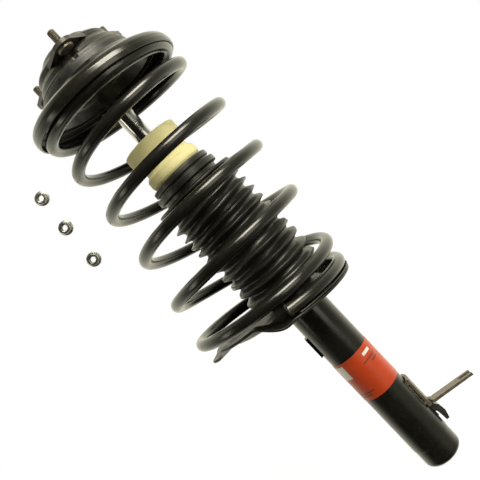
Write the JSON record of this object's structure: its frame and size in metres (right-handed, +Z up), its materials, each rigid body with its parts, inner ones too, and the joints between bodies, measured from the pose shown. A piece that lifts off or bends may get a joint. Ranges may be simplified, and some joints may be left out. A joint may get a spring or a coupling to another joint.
{
  "type": "strut assembly",
  "caption": "Complete front suspension strut: damper with clamp-on tube, leaning coil spring, bellows boot, foam bump stop and three-stud top mount.",
  "frame": {"origin": "centre of the stretch of the damper tube that the knuckle clamps, 15 mm above its closed lower end", "axes": "+Z up the damper's axis towards the studs, +X towards the hose bracket"},
  "size_m": [0.2412, 0.1784, 0.587],
  "materials": {
    "black_paint": "semi-gloss",
    "black_powder": "semi-gloss",
    "black_mount": "satin",
    "plated_bracket": "satin",
    "label_film": "satin",
    "black_rubber": "matte",
    "bare_steel": "satin",
    "sintered_steel": "matte",
    "bronze_bush": "satin",
    "zinc_nut": "bright",
    "cage_plastic": "matte",
    "ball_steel": "polished",
    "black_plastic": "satin",
    "zinc_stud": "satin",
    "chrome_rod": "polished",
    "ring_plastic": "matte",
    "cream_foam": "matte"
  },
  "bodies": {
    "strut_body": {"strut_tube": "black_paint", "key_tab": "black_paint", "hose_bracket": "plated_bracket", "side_bracket": "black_paint", "label": "label_film", "lower_spring_seat": "black_paint", "lower_isolator": "black_rubber", "coil_spring": "black_powder", "dust_boot": "black_rubber", "pressure_tube": "bare_steel", "base_valve_body": "sintered_steel", "base_valve_disc": "bare_steel", "base_valve_rivet": "bare_steel", "rod_guide": "sintered_steel", "guide_bush": "bronze_bush", "rod_seal": "black_rubber", "tube_cap": "bare_steel", "stud_nuts": "zinc_nut"},
    "upper_seat": {"upper_spring_seat": "black_paint", "upper_isolator": "black_rubber", "bearing_lower_race": "bare_steel"},
    "bearing_cage": {"bearing_cage": "cage_plastic", "bearing_balls": "ball_steel"},
    "top_mount": {"bearing_upper_race": "black_plastic", "top_mount_plate": "black_mount", "mount_cover": "black_mount", "mount_rubber": "black_rubber", "mount_core": "bare_steel", "mount_studs": "zinc_stud", "piston_rod": "chrome_rod", "piston": "sintered_steel", "piston_ring": "ring_plastic", "piston_shim": "bare_steel", "piston_nut": "bare_steel", "rebound_stop": "black_plastic", "rod_washer": "bare_steel", "rod_nut": "zinc_stud", "bump_stop": "cream_foam"}
  },
  "joints": [
    {"name": "rod_slide", "type": "slide", "parent": "strut_body", "child": "upper_seat", "axis": [0, 0, 1], "range_m": [-0.104, 0], "stiffness_N_per_m": 22000, "springref_m": 0.003, "deforming": ["coil_spring", "dust_boot"]},
    {"name": "mount_steer", "type": "hinge", "parent": "upper_seat", "child": "top_mount", "pos_m": [0, 0, 0.5325], "axis": [0, 0, 1], "continuous": true},
    {"name": "cage_spin", "type": "hinge", "parent": "upper_seat", "child": "bearing_cage", "pos_m": [0, 0, 0.5325], "axis": [0, 0, 1], "continuous": true}
  ],
  "couplings": [
    {"joint": "cage_spin", "follows": "mount_steer", "ratio": 0.5}
  ]
}
